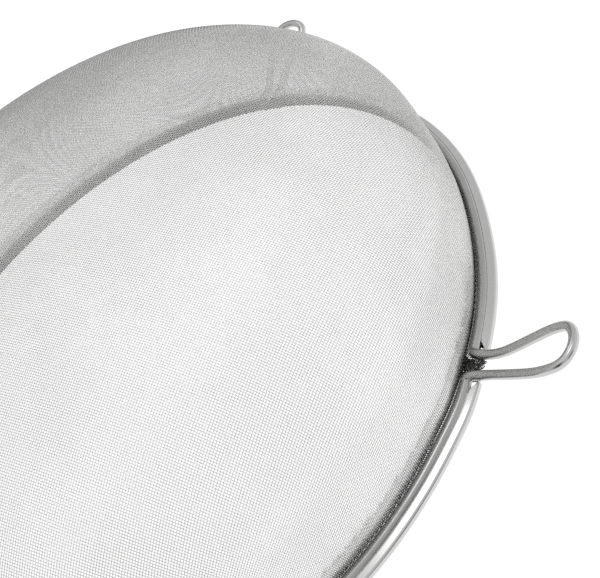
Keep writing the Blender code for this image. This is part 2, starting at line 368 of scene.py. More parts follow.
class Effects:
    """The node groups that several finishes share, each built once."""

    # The heights between which the painted shade at the cloth's foot fades, and how far they wander.
    SHADE_FADE = (0.0045, 0.0088)
    SHADE_WANDER = 0.003
    # How far the hair scratches bend, and how thick they are.
    SCRATCH_BEND = 0.006
    SCRATCH_WIDTH = 0.012

    def __init__(self) -> None:
        """Builds the four groups."""
        self.clouding = self.build_clouding()
        self.foot_painted_shade = self.build_foot_painted_shade()
        self.draw_lines = self.build_draw_lines()
        self.handling = self.build_handling()

    @staticmethod
    def start(name: str, inputs: dict[str, float | None],
              outputs: Sequence[str]) -> tuple[NodeTree, Node, Node]:
        """Starts a group.

        Args:
            name: The group's name.
            inputs: Each input's name and default value, with None for a vector.
            outputs: Each output's name.

        Returns:
            The group with its input and output nodes.
        """
        group = bpy.data.node_groups.new(name, "ShaderNodeTree")
        for label, value in inputs.items():
            kind = "NodeSocketVector" if value is None else "NodeSocketFloat"
            socket = group.interface.new_socket(name=label, in_out="INPUT", socket_type=kind)
            if value is not None:
                socket.default_value = value
        for label in outputs:
            group.interface.new_socket(name=label, in_out="OUTPUT", socket_type="NodeSocketFloat")
        return group, group.nodes.new("NodeGroupInput"), group.nodes.new("NodeGroupOutput")

    @staticmethod
    def noise(group: NodeTree, vector: Socket, scale: float, detail: float, rough: float = 0.5) -> Node:
        """Adds one noise texture that reads a vector.

        Args:
            group: The nodes to add to.
            vector: What it reads.
            scale: How close its pattern is.
            detail: How many finer layers it has.
            rough: How strong those are.

        Returns:
            The texture node.
        """
        node = group.nodes.new("ShaderNodeTexNoise")
        node.inputs["Scale"].default_value = scale
        node.inputs["Detail"].default_value = detail
        node.inputs["Roughness"].default_value = rough
        group.links.new(vector, node.inputs["Vector"])
        return node

    @staticmethod
    def maths(group: NodeTree, operation: str, *values: object) -> Socket:
        """Adds one sum.

        Args:
            group: The nodes to add to.
            operation: The sum's kind.
            values: What goes into it, each a number or a socket.

        Returns:
            What it puts out.
        """
        node = group.nodes.new("ShaderNodeMath")
        node.operation = operation
        for socket, value in zip(node.inputs, values):
            if isinstance(value, Socket):
                group.links.new(value, socket)
            else:
                socket.default_value = value
        return node.outputs[0]

    @staticmethod
    def stretched(group: NodeTree, vector: Socket, scale: Sequence[float]) -> Socket:
        """Stretches a vector, so that a pattern read through it is drawn out.

        Args:
            group: The nodes to add to.
            vector: What is stretched.
            scale: How much, along each axis.

        Returns:
            The stretched vector.
        """
        node = group.nodes.new("ShaderNodeVectorMath")
        node.operation = "MULTIPLY"
        group.links.new(vector, node.inputs[0])
        node.inputs[1].default_value = scale
        return node.outputs[0]

    @staticmethod
    def graded(group: NodeTree, value: Socket, low: float, high: float) -> Socket:
        """Spreads a value from low to high smoothly over 0 to 1.

        Args:
            group: The nodes to add to.
            value: The value.
            low: What becomes 0.
            high: What becomes 1.

        Returns:
            The spread value.
        """
        node = group.nodes.new("ShaderNodeMapRange")
        node.interpolation_type = "SMOOTHSTEP"
        node.inputs["From Min"].default_value = low
        node.inputs["From Max"].default_value = high
        group.links.new(value, node.inputs["Value"])
        return node.outputs["Result"]

    def build_clouding(self) -> NodeTree:
        """Builds soft clouds of slightly duller steel, as annealing and washing leave them.

        Returns:
            The group, which puts out a mask.
        """
        group, given, put = self.start("steel clouding", {"Place": None, "Amount": 0.5}, ["Mask"])
        broad = self.noise(group, given.outputs["Place"], 28.0, 3.0)
        close = self.noise(group, given.outputs["Place"], 210.0, 4.0, 0.6)
        lesser = self.maths(group, "MULTIPLY", close.outputs["Fac"], 0.5)
        both = self.maths(group, "ADD", broad.outputs["Fac"], lesser)
        mask = self.graded(group, both, 0.62, 0.92)
        group.links.new(self.maths(group, "MULTIPLY", mask, given.outputs["Amount"]), put.inputs["Mask"])
        return group

    def build_foot_painted_shade(self) -> NodeTree:
        """Builds painted shade low on the cloth, where it goes into the rim, uneven along its upper edge.

        Returns:
            The group, which puts out a mask.
        """
        group, given, put = self.start("foot painted shade", {"Place": None, "Amount": 0.5}, ["Mask"])
        uneven = self.noise(group, given.outputs["Place"], 120.0, 3.0)
        parts = group.nodes.new("ShaderNodeSeparateXYZ")
        group.links.new(given.outputs["Place"], parts.inputs["Vector"])
        level = self.maths(group, "MULTIPLY_ADD", uneven.outputs["Fac"], self.SHADE_WANDER, parts.outputs["Z"])
        mask = self.maths(group, "SUBTRACT", 1.0, self.graded(group, level, *self.SHADE_FADE))
        group.links.new(self.maths(group, "MULTIPLY", mask, given.outputs["Amount"]), put.inputs["Mask"])
        return group

    def build_draw_lines(self) -> NodeTree:
        """Builds fine lines along a piece, as a die, a roll or a brush leaves them.

        Returns:
            The group, which puts out the lines and their height.
        """
        group, given, put = self.start("drawing lines", {"Grain": None, "Depth": 1.0}, ["Lines", "Height"])
        grain = given.outputs["Grain"]
        fine = self.noise(group, self.stretched(group, grain, (60.0, 9000.0, 1.0)), 1.0, 3.0, 0.7)
        broad = self.noise(group, self.stretched(group, grain, (25.0, 1800.0, 1.0)), 1.0, 2.0)
        lines = self.maths(group, "ADD", self.maths(group, "MULTIPLY", fine.outputs["Fac"], 0.6),
                           self.maths(group, "MULTIPLY", broad.outputs["Fac"], 0.4))
        group.links.new(self.graded(group, lines, 0.3, 0.7), put.inputs["Lines"])
        group.links.new(self.maths(group, "MULTIPLY", lines, given.outputs["Depth"]), put.inputs["Height"])
        return group

    def build_handling(self) -> NodeTree:
        """Builds short hair scratches and small rubbed spots from use and stacking.

        Returns:
            The group, which puts out the scratches and their height.
        """
        group, given, put = self.start(
            "handling marks", {"Place": None, "Amount": 0.5}, ["Scratches", "Height"]
        )
        bent = self.noise(group, given.outputs["Place"], 60.0, 2.0)
        node = group.nodes.new("ShaderNodeVectorMath")
        node.operation = "MULTIPLY_ADD"
        group.links.new(bent.outputs["Color"], node.inputs[0])
        node.inputs[1].default_value = (self.SCRATCH_BEND,) * 3
        group.links.new(given.outputs["Place"], node.inputs[2])
        total = None
        for scale in ((900.0, 70.0, 300.0), (80.0, 750.0, 260.0)):
            hairs = self.noise(group, self.stretched(group, node.outputs[0], scale), 1.0, 2.0)
            thin = self.maths(group, "ABSOLUTE", self.maths(group, "SUBTRACT", hairs.outputs["Fac"], 0.5))
            line = self.maths(group, "SUBTRACT", 1.0, self.graded(group, thin, 0.0, self.SCRATCH_WIDTH))
            total = line if total is None else self.maths(group, "MAXIMUM", total, line)
        rubbed = self.noise(group, given.outputs["Place"], 95.0, 2.0)
        spots = self.graded(group, rubbed.outputs["Fac"], 0.52, 0.66)
        shown = self.maths(group, "MULTIPLY", total, spots)
        marks = self.maths(group, "MULTIPLY", shown, given.outputs["Amount"])
        group.links.new(marks, put.inputs["Scratches"])
        group.links.new(self.maths(group, "MULTIPLY", marks, -1.0), put.inputs["Height"])
        return group


@dataclass(frozen=True)
class SteelFinish:
    """One finish of stainless steel.

    Attributes:
        name: The material's name.
        bright: The clean steel's colour.
        dull: The clouded steel's colour.
        polish: The lowest roughness.
        haze: How much the clouds add to the roughness.
        brushing: How much the drawing lines add to the roughness.
        clouds: How strongly the clouds show.
        line_depth: The depth of the drawing lines in metres, 0 for none.
        marks: How strongly the handling marks show.
        aniso: How far the shine is drawn out across the lines.
        foot_shade: How strong the painted shade is where the cloth goes into the rim.
    """

    name: str
    bright: tuple[float, float, float]
    dull: tuple[float, float, float]
    polish: float
    haze: float
    brushing: float = 0.0
    clouds: float = 0.6
    line_depth: float = 0.0
    marks: float = 0.0
    aniso: float = 0.0
    foot_shade: float = 0.0

    # The colour of the painted shade low on the cloth, where it goes into the rim.
    PAINTED_SHADE_COLOUR = (0.05, 0.05, 0.048)
    SCRATCH_DEPTH = 0.000004
    SCRATCH_ROUGHNESS = 0.22

    def material(self, effects: Effects) -> Material:
        """Builds the material.

        Args:
            effects: The shared node groups.

        Returns:
            A material with one Principled shader.
        """
        material = bpy.data.materials.new(self.name)
        material.use_nodes = True
        tree = material.node_tree
        shader = tree.nodes["Principled BSDF"]
        shader.inputs["Metallic"].default_value = 1.0
        shader.inputs["Anisotropic"].default_value = self.aniso
        place = tree.nodes.new("ShaderNodeTexCoord").outputs["Object"]

        clouding = self.group(tree, effects.clouding)
        clouding.inputs["Amount"].default_value = self.clouds
        tree.links.new(place, clouding.inputs["Place"])
        roughness = effects.maths(tree, "MULTIPLY_ADD", clouding.outputs["Mask"], self.haze, self.polish)
        colour = self.mixed(tree, clouding.outputs["Mask"], self.bright, self.dull)
        # Painted shade: the cloth darkens towards its foot, where it goes into the rim.
        if self.foot_shade > 0.0:
            painted_shade = self.group(tree, effects.foot_painted_shade)
            painted_shade.inputs["Amount"].default_value = self.foot_shade
            tree.links.new(place, painted_shade.inputs["Place"])
            colour = self.mixed(tree, painted_shade.outputs["Mask"], colour, self.PAINTED_SHADE_COLOUR)

        height = None
        if self.line_depth > 0.0:
            grain = tree.nodes.new("ShaderNodeUVMap")
            grain.uv_map = GRAIN_MAP
            lines = self.group(tree, effects.draw_lines)
            lines.inputs["Depth"].default_value = self.line_depth
            tree.links.new(grain.outputs["UV"], lines.inputs["Grain"])
            roughness = effects.maths(tree, "MULTIPLY_ADD", lines.outputs["Lines"], self.brushing, roughness)
            height = lines.outputs["Height"]
        if self.marks > 0.0:
            handling = self.group(tree, effects.handling)
            handling.inputs["Amount"].default_value = self.marks
            tree.links.new(place, handling.inputs["Place"])
            scratches = handling.outputs["Scratches"]
            roughness = effects.maths(tree, "MULTIPLY_ADD", scratches, self.SCRATCH_ROUGHNESS, roughness)
            scratch = effects.maths(tree, "MULTIPLY", handling.outputs["Height"], self.SCRATCH_DEPTH)
            height = scratch if height is None else effects.maths(tree, "ADD", height, scratch)
        if height is not None:
            bump = tree.nodes.new("ShaderNodeBump")
            bump.inputs["Distance"].default_value = 1.0
            tree.links.new(height, bump.inputs["Height"])
            tree.links.new(bump.outputs["Normal"], shader.inputs["Normal"])
        tree.links.new(colour, shader.inputs["Base Color"])
        tree.links.new(roughness, shader.inputs["Roughness"])
        return material

    @staticmethod
    def group(tree: NodeTree, shared: NodeTree) -> Node:
        """Places a shared group in a material.

        Args:
            tree: The material's nodes.
            shared: The group.

        Returns:
            The node that holds it.
        """
        node = tree.nodes.new("ShaderNodeGroup")
        node.node_tree = shared
        return node

    @staticmethod
    def mixed(tree: NodeTree, share: Socket,
              first: Sequence[float] | Socket, second: Sequence[float]) -> Socket:
        """Mixes two colours by a share that changes over the surface.

        Args:
            tree: The material's nodes.
            share: The second colour's share.
            first: The first colour, or a socket that gives it.
            second: The second colour.

        Returns:
            The mixed colour.
        """
        node = tree.nodes.new("ShaderNodeMix")
        node.data_type = "RGBA"
        tree.links.new(share, node.inputs["Factor"])
        if isinstance(first, Socket):
            tree.links.new(first, node.inputs["A"])
        else:
            node.inputs["A"].default_value = (*first, 1.0)
        node.inputs["B"].default_value = (*second, 1.0)
        return node.outputs["Result"]


# The cloth's foot_shade paints shade low on it, where it goes into the rim.
WIRE_CLOTH = SteelFinish(
    "wire_cloth_steel", (0.90, 0.90, 0.895), (0.78, 0.78, 0.775), 0.26, 0.16, clouds=0.7, foot_shade=0.85,
)
# The hem is the cloth's steel made dark: painted shade in the hollow between an ear's feet.
SHADED_HEM = SteelFinish(
    "shaded_hem_steel", (0.30, 0.30, 0.295), (0.14, 0.14, 0.138), 0.34, 0.16, clouds=0.8,
)
BEAD_POLISH = SteelFinish(
    "rolled_bead_steel", (0.68, 0.68, 0.677), (0.62, 0.62, 0.615), 0.12, 0.06,
    brushing=0.05, clouds=0.5, line_depth=0.0000002, marks=0.2,
)
# The hump is the same sheet as the bead; its darker colour is painted shade for the dark cloth it mirrors, its
# higher roughness is its own.
HUMP_SHADED = SteelFinish(
    "rolled_hump_shaded_steel", (0.50, 0.50, 0.497), (0.42, 0.42, 0.416), 0.20, 0.07,
    brushing=0.08, clouds=0.6, line_depth=0.0000003, marks=0.3,
)
BRIGHT_WIRE = SteelFinish(
    "bright_wire_steel", (0.62, 0.62, 0.617), (0.55, 0.55, 0.545), 0.14, 0.06,
    brushing=0.05, clouds=0.4, line_depth=0.0000001, marks=0.1,
)
SATIN_HANDLE = SteelFinish(
    "satin_handle_steel", (0.62, 0.62, 0.615), (0.55, 0.55, 0.545), 0.20, 0.08,
    brushing=0.12, clouds=0.5, line_depth=0.000001, marks=0.4, aniso=0.5,
)


# ------------------------------------------------------------------------------------------------- the bowl


@dataclass
class WovenBowl:
    """The drawn bowl of plain-woven wire, with the flat flange that the rim clamps.

    Attributes:
        axis_y: Where the bowl's axis stands on Y.
        rim_radius: The rim's outer radius.
        height: The bowl's full height.
        radius: The wall's radius, to the middle of the cloth.
        wall_top: Where the wall turns into the crown.
        wall_foot: Where the wall starts to draw in above the rim.
        neck_inset: The neck's distance in from the rim's edge.
        flange_inset: The flange's distance in from the rim's edge.
        flange_height: The middle of the cloth inside the fold.
        crown_pitch: Wire spacing at the pole.
        wall_pitch: Wire spacing up the wall.
        wire_radius: Radius of one wire of the cloth.
        sides: How many sides one wire has.
        fullness: How much wider such a wire is drawn, to cover what a round one does.
        bias: Which way the warp runs, from +X.
        gather: How much the wires draw together between the warp and the weft.
        hem_rows: How many wires wide the hem is that is folded back inside.
        hem_depth: How far inside the cloth the hem lies.
        most_faces: The most triangles in one piece.
    """

    axis_y: float
    rim_radius: float = 130.0 * MM
    height: float = 86.3 * MM
    radius: float = 125.0 * MM
    wall_top: float = 28.2 * MM
    wall_foot: float = 14.5 * MM
    neck_inset: float = 6.45 * MM
    flange_inset: float = 4.9 * MM
    flange_height: float = 0.62 * MM
    crown_pitch: float = 0.70 * MM
    wall_pitch: float = 0.82 * MM
    wire_radius: float = 0.086 * MM
    sides: int = 3
    fullness: float = 1.209
    bias: float = math.radians(39.0)
    gather: float = 0.4
    hem_rows: float = 12.5
    hem_depth: float = 0.42 * MM
    most_faces: int = 190_000

    def __post_init__(self) -> None:
        """Works out the bowl's outline by length, and how many wires it takes."""
        line = evenly(self.outline(), 4000)
        self.arc_at = np.concatenate([[0.0], np.cumsum(np.linalg.norm(np.diff(line, axis=0), axis=1))])
        self.radius_at, self.height_at = line.T
        along = unit(np.gradient(line, axis=0))
        self.out_at, self.up_at = -along[:, 1], along[:, 0]
        crown = self.arc_at[np.argmax(self.height_at < self.wall_top)]
        grow = np.clip(self.arc_at / crown, 0.0, 1.0) ** 2
        pitch = self.crown_pitch + (self.wall_pitch - self.crown_pitch) * grow
        self.count_at = np.concatenate([[0.0], np.cumsum(np.diff(self.arc_at) / pitch[:-1])])
        self.reach = self.count_at[-1]

    def outline(self) -> np.ndarray:
        """The cloth's middle line from the pole to the flange's edge.

        Returns:
            The points, as radius and height.
        """
        neck = self.rim_radius - self.neck_inset
        bend = 0.8 * MM
        crown = [(self.radius * math.cos(a), self.wall_top + (self.height - self.wall_top) * math.sin(a))
                 for a in np.linspace(math.pi / 2, 0.0, 160)]
        turn = self.flange_height + bend
        neck_line = smooth_through(
            (
                (self.radius, self.wall_top),
                (self.radius, self.wall_foot),
                (self.radius - 0.4 * MM, 9.0 * MM),
                (neck + 0.9 * MM, 5.6 * MM),
                (neck, 2.9 * MM),
                (neck, turn),
            ),
            12,
        )
        foot = arc((neck + bend, turn), bend, 180, 270, 10)
        edge = [(self.rim_radius - self.flange_inset, self.flange_height)]
        return np.concatenate([crown, neck_line, foot, edge])

    def lay(self, u: np.ndarray, v: np.ndarray, lift: np.ndarray) -> tuple[np.ndarray, np.ndarray]:
        """Places points of the flat cloth on the bowl.

        Args:
            u: The points' places across the warp, in wires.
            v: The points' places across the weft, in wires.
            lift: How far each stands off the cloth's middle.

        Returns:
            The points and their outward directions.
        """
        drift = 0.22 * np.sin(u / 37.0 + 1.3) * np.cos(v / 29.0) + 0.12 * np.sin((u + v) / 13.0)
        slip = 0.22 * np.sin(v / 33.0 + 0.4) * np.cos(u / 41.0) + 0.12 * np.cos((u - v) / 15.0)
        u, v = u + drift, v + slip
        count = np.hypot(u, v)
        length = np.interp(count, self.count_at, self.arc_at)
        radius = np.interp(length, self.arc_at, self.radius_at)
        height = np.interp(length, self.arc_at, self.height_at)
        out = np.interp(length, self.arc_at, self.out_at)
        up = np.interp(length, self.arc_at, self.up_at)
        turn = np.arctan2(v, u)
        excess = np.clip(length / np.maximum(radius, 1e-6) - 1.0, 0.0, 0.45)
        turn = turn + self.gather * excess / 4.0 * np.sin(4.0 * turn) + self.bias
        dents = 0.10 * MM * np.sin(turn * 7.0 + length * 60.0) * np.sin(length * 95.0 + 0.7)
        dents = dents * np.clip((height - self.wall_foot) / (20.0 * MM), 0.0, 1.0)
        radius = radius + out_of_round(turn) * np.clip((16.0 * MM - height) / (10.0 * MM), 0.0, 1.0)
        normal = unit(np.stack([out * np.cos(turn), out * np.sin(turn), up], -1))
        base = np.stack([radius * np.cos(turn), radius * np.sin(turn) + self.axis_y, height], -1)
        return base + normal * (lift + dents)[:, None], normal

    def rings_along(self, u: np.ndarray, v: np.ndarray, lift: np.ndarray) -> np.ndarray:
        """One wire through points of the flat cloth, as rings of points.

        Args:
            u: The points' places across the warp, in wires.
            v: The points' places across the weft, in wires.
            lift: How far each stands off the cloth's middle.

        Returns:
            The rings, one for each point.
        """
        line, normal = self.lay(u, v, lift)
        return wire_rings(line, normal, self.wire_radius * self.fullness, self.sides, math.pi / 2)

    def wires(self, weave: Weave) -> list[np.ndarray]:
        """Every wire that runs one way, and its ends in the hem that is folded back inside the neck.

        Args:
            weave: The way they run.

        Returns:
            One array of rings for each wire.
        """
        chance = np.random.default_rng(7 if weave is Weave.WARP else 8)
        first = 1.0 if weave is Weave.WARP else -1.0
        found = []
        most = int(self.reach - 0.5)
        for across in range(-most, most + 1):
            half = math.sqrt(max(self.reach**2 - across**2, 1.0))
            crossings = np.arange(-int(half), int(half) + 1, dtype=float)
            if len(crossings) < 5:
                continue
            over = np.where((crossings + across) % 2 == 0, first, -first) * self.wire_radius
            crossings[0] -= chance.uniform(0.0, 0.7)
            crossings[-1] += chance.uniform(0.0, 0.7)
            fixed = np.full(len(crossings), float(across))
            u, v = (fixed, crossings) if weave is Weave.WARP else (crossings, fixed)
            found.append(self.rings_along(u, v, over))
            top = self.hem_rows + chance.uniform(-1.0, 1.0)
            in_hem = np.hypot(u + 0.5, v + 0.5) > self.reach - top
            for run in np.split(np.arange(len(u)), np.flatnonzero(np.diff(in_hem.astype(int))) + 1):
                if in_hem[run[0]] and len(run) > 4:
                    found.append(self.rings_along(u[run] + 0.5, v[run] + 0.5, over[run] - self.hem_depth))
        return found

    def bundles(self, wires: Sequence[np.ndarray]) -> list[list[np.ndarray]]:
        """Shares the wires out, so that no piece has too many faces.

        Args:
            wires: The rings of each wire.

        Returns:
            Each piece's wires.
        """
        shared, count = [[]], 0
        for rings in wires:
            faces = 2 * self.sides * (len(rings) - 1) + 2 * (self.sides - 2)
            if count + faces > self.most_faces:
                shared.append([])
                count = 0
            shared[-1].append(rings)
            count += faces
        return shared

    def build(self, material: Material) -> None:
        """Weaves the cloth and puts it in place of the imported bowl.

        Args:
            material: The cloth's finish.
        """
        for weave in Weave:
            for number, bundle in enumerate(self.bundles(self.wires(weave)), start=1):
                name = f"{weave.value}_wires_{number}"
                settle(name, bundle_mesh(name, bundle), Slot.CLOTH, material, ["mesh_bowl"])


# -------------------------------------------------------------------------------------- the rim and the wire


@dataclass
class FoldedRim:
    """The strip of sheet folded over the cloth and the hoop wire: a bead outside, a crease, a hump inside.

    Attributes:
        axis_y: Where the bowl's axis stands on Y.
        rim_radius: The rim's outer radius.
        sheet: The sheet's thickness.
        wire_inset: The hoop wire's distance in from the rim's edge.
        wire_height: The height of the hoop wire's middle.
        shoulder_height: The height of the bead's shoulder.
        top_slope: How steeply the bead's top slopes up to the hump.
        foot_radius: The bend at the bead's foot, to the middle of the sheet.
        shoulder_radius: The bend at the bead's top, to the middle of the sheet.
        hump_radius: The hump's radius, to the middle of the sheet.
        crease_width: How far the bead's top stops short of the hump.
        crease_depth: How far its edge turns down into the crease.
        ear_turn: How far each ear stands from +Y.
        ear_gap: Half of the opening at an ear.
        handle_gap: Half of the opening at the handle.
        notch_length: How far back from an end the crease opens.
        notch_width: How wide each side of the crease opens at the end.
    """

    axis_y: float
    rim_radius: float = 130.0 * MM
    sheet: float = 0.4 * MM
    wire_inset: float = 4.25 * MM
    wire_height: float = 2.29 * MM
    shoulder_height: float = 2.3 * MM
    top_slope: float = math.radians(20.0)
    foot_radius: float = 0.8 * MM
    shoulder_radius: float = 0.9 * MM
    hump_radius: float = 1.68 * MM
    crease_width: float = 0.15 * MM
    crease_depth: float = 0.4 * MM
    ear_turn: float = math.radians(44.0)
    ear_gap: float = 5.0 * MM
    handle_gap: float = 9.0 * MM
    notch_length: float = 4.2 * MM
    notch_width: float = 2.5 * MM

    # How far the notch cuts the lower leg and the hump, as shares of its cut in the bead.
    LEG_SHARE = 3.0
    HUMP_SHARE = 0.35

    def bead_line(self, cut: float) -> np.ndarray:
        """The lower leg and the bead, its top sloping up to the hump.

        Args:
            cut: How far the notch cuts it back.

        Returns:
            Its middle line, as radius and height.
        """
        half, edge = self.sheet / 2, self.rim_radius - self.sheet / 2
        foot, shoulder = self.foot_radius, self.shoulder_radius
        lean = math.degrees(self.top_slope)
        top = self.shoulder_height
        turned = arc((edge - shoulder, top - shoulder), shoulder, 0, 90 - lean, 14)
        hoop = self.rim_radius - self.wire_inset
        crease = hoop + self.hump_radius + self.crease_width
        rise = turned[-1][1] + (turned[-1][0] - crease) * math.tan(self.top_slope)
        leg = min(hoop - self.hump_radius + cut * self.LEG_SHARE, edge - foot - 0.05 * MM)
        line = np.concatenate([
            [(leg, half)],
            arc((edge - foot, half + foot), foot, -90, 0, 12),
            turned,
            [(crease, rise), (crease - 0.02 * MM, rise - self.crease_depth)],
        ])
        return self.shortened(line, cut, 44)

    def hump_line(self, cut: float) -> np.ndarray:
        """The hump over the wire, as radius and height, less a cut at the crease."""
        centre = (self.rim_radius - self.wire_inset, self.wire_height)
        return self.shortened(arc(centre, self.hump_radius, 200, -30, 60), cut * self.HUMP_SHARE, 34)[::-1]

    @staticmethod
    def shortened(line: np.ndarray, cut: float, count: int) -> np.ndarray:
        """A line less some of its last length.

        Args:
            line: The line's points.
            cut: The length that goes.
            count: How many points it gets.

        Returns:
            The points, evenly spaced.
        """
        fine = evenly(line, 400)
        length = np.linalg.norm(np.diff(line, axis=0), axis=1).sum()
        return evenly(fine[: max(round(400 * (1.0 - cut / length)), 20)], count)

    def section(self, line: np.ndarray) -> np.ndarray:
        """The outline of a sheet that follows a line, with rounded edges.

        Args:
            line: The sheet's middle line.

        Returns:
            The points of the outline.
        """
        along = unit(np.gradient(line, axis=0))
        normal = np.stack([along[:, 1], -along[:, 0]], -1)
        half = self.sheet / 2
        edge = np.radians((45.0, 90.0, 135.0))[:, None]
        far = line[-1] + half * (normal[-1] * np.cos(edge) + along[-1] * np.sin(edge))
        near = line[0] - half * (normal[0] * np.cos(edge) + along[0] * np.sin(edge))
        return np.concatenate([line + normal * half, far, (line - normal * half)[::-1], near])

    def end_faces(self, count: int) -> list[np.ndarray]:
        """The faces that close a cut end of the sheet.

        Args:
            count: How many points its middle line has.

        Returns:
            The faces, as indices into its outline.
        """
        outer = np.arange(count - 1)
        inner = 2 * count + 2 - outer
        last = np.arange(count - 1, count + 4)
        first = np.array([*range(2 * count + 2, 2 * count + 6), 0])
        return [np.stack([outer, outer + 1, inner - 1, inner], -1), np.array([last, first])]

    def stations(self, start: float, end: float) -> np.ndarray:
        """Angles along a strip, close together near its two ends.

        Args:
            start: The angle it starts at.
            end: The angle it ends at.

        Returns:
            The angles.
        """
        length = (end - start) * self.rim_radius
        near = np.arange(0.0, 8.0 * MM, 0.4 * MM)
        middle = np.linspace(8.0 * MM, length - 8.0 * MM, round(length / (1.3 * MM)))
        return start + np.concatenate([near, middle, length - near[::-1]]) / self.rim_radius

    def opening(self, turn: float, start: float, end: float, at_ears: tuple[bool, bool]) -> float:
        """How far the crease stands open at one angle.

        Args:
            turn: The angle.
            start: Where the strip starts.
            end: Where it ends.
            at_ears: Whether each end of the strip is at an ear.

        Returns:
            The width of each side's cut.
        """
        nearest = min(
            abs(turn - edge) * self.rim_radius if ear else self.notch_length
            for edge, ear in ((start, at_ears[0]), (end, at_ears[1]))
        )
        return self.notch_width * max(1.0 - nearest / self.notch_length, 0.0)

    def band(self, name: str, line_of: Callable[[float], np.ndarray], start: float, end: float,
             at_ears: tuple[bool, bool]) -> Mesh:
        """Turns one band of the fold about the bowl's axis.

        Args:
            name: The mesh's name.
            line_of: Gives the band's middle line for a cut at the crease.
            start: The angle it starts at.
            end: The angle it ends at.
            at_ears: Whether each end is at an ear.

        Returns:
            The band's mesh.
        """
        rings = []
        for turn in self.stations(start, end):
            outline = self.section(line_of(self.opening(turn, start, end, at_ears)))
            sway = 0.05 * MM * math.sin(5.0 * turn + 0.8) + 0.03 * MM * math.sin(13.0 * turn)
            lift = 0.025 * MM * (1.0 + math.sin(7.0 * turn + 2.0)) + 0.012 * MM * math.sin(31.0 * turn)
            radius = outline[:, 0] - abs(sway) + out_of_round(turn)
            across, along = radius * math.cos(turn), radius * math.sin(turn)
            rings.append(np.stack([across, along, outline[:, 1] + lift], -1))
        count = (len(rings[0]) - 6) // 2
        return skin(name, np.array(rings), self.end_faces(count))

    def build(self, bead: Material, hump: Material) -> None:
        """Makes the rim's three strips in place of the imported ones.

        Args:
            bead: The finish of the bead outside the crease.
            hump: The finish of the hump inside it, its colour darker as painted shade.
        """
        by_ear = self.ear_gap / self.rim_radius
        by_handle = self.handle_gap / self.rim_radius
        right, left = math.pi / 2 - self.ear_turn, math.pi / 2 + self.ear_turn
        strips = {
            "rim_channel_front": (right + by_ear, left - by_ear, (True, True)),
            "rim_channel_right": (-math.pi / 2 + by_handle, right - by_ear, (False, True)),
            "rim_channel_left": (left + by_ear, math.pi * 1.5 - by_handle, (True, False)),
        }
        place = Matrix.Translation((0.0, self.axis_y, 0.0))
        for node, (start, end, at_ears) in strips.items():
            side = node.rsplit("_", 1)[1]
            for part, line_of, material in (("bead", self.bead_line, bead), ("hump", self.hump_line, hump)):
                name = f"rim_{part}_{side}"
                mesh = self.band(name, line_of, start, end, at_ears)
                settle(name, mesh, Slot.RIM, material, [node], place)


